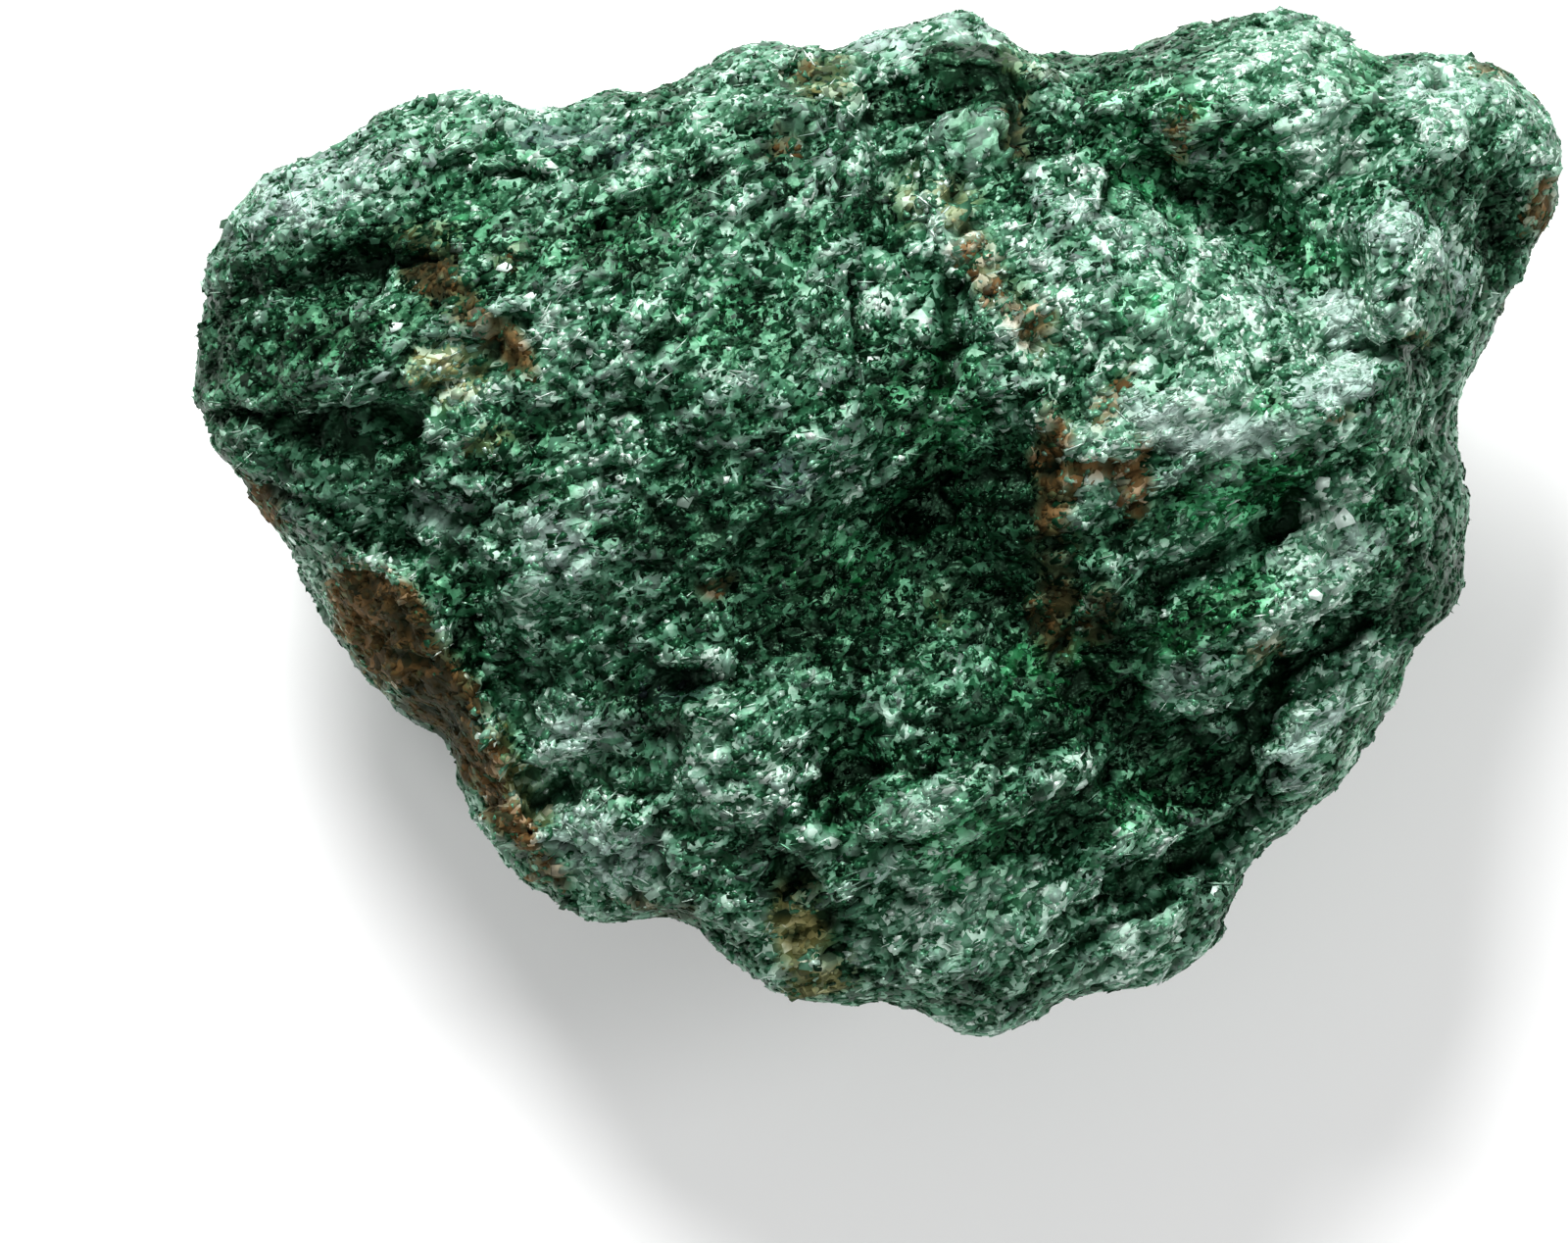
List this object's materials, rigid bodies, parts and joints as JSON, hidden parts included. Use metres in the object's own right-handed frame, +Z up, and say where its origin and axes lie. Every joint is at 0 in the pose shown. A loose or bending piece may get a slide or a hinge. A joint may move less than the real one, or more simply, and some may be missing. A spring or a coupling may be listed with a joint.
{
  "type": "raw fuchsite stone",
  "caption": "Hand-sized rough lump of green mica schist with a broad folded face, a raised plateau, deep clefts and a flat break to rest on; a display and collector's stone.",
  "frame": {"origin": "middle of the footprint at the height of the resting face", "axes": "+X along the length towards the wide right lobe, +Y towards the high knuckled edge, +Z up out of the broad face"},
  "size_m": [0.0874, 0.0658, 0.04],
  "materials": {
    "mica_schist": "deep green rough mica schist with glinting flakes, pale frosted ridges and rust-brown stains"
  },
  "bodies": {
    "root": {"fuchsite_stone": "mica_schist"}
  },
  "joints": []
}
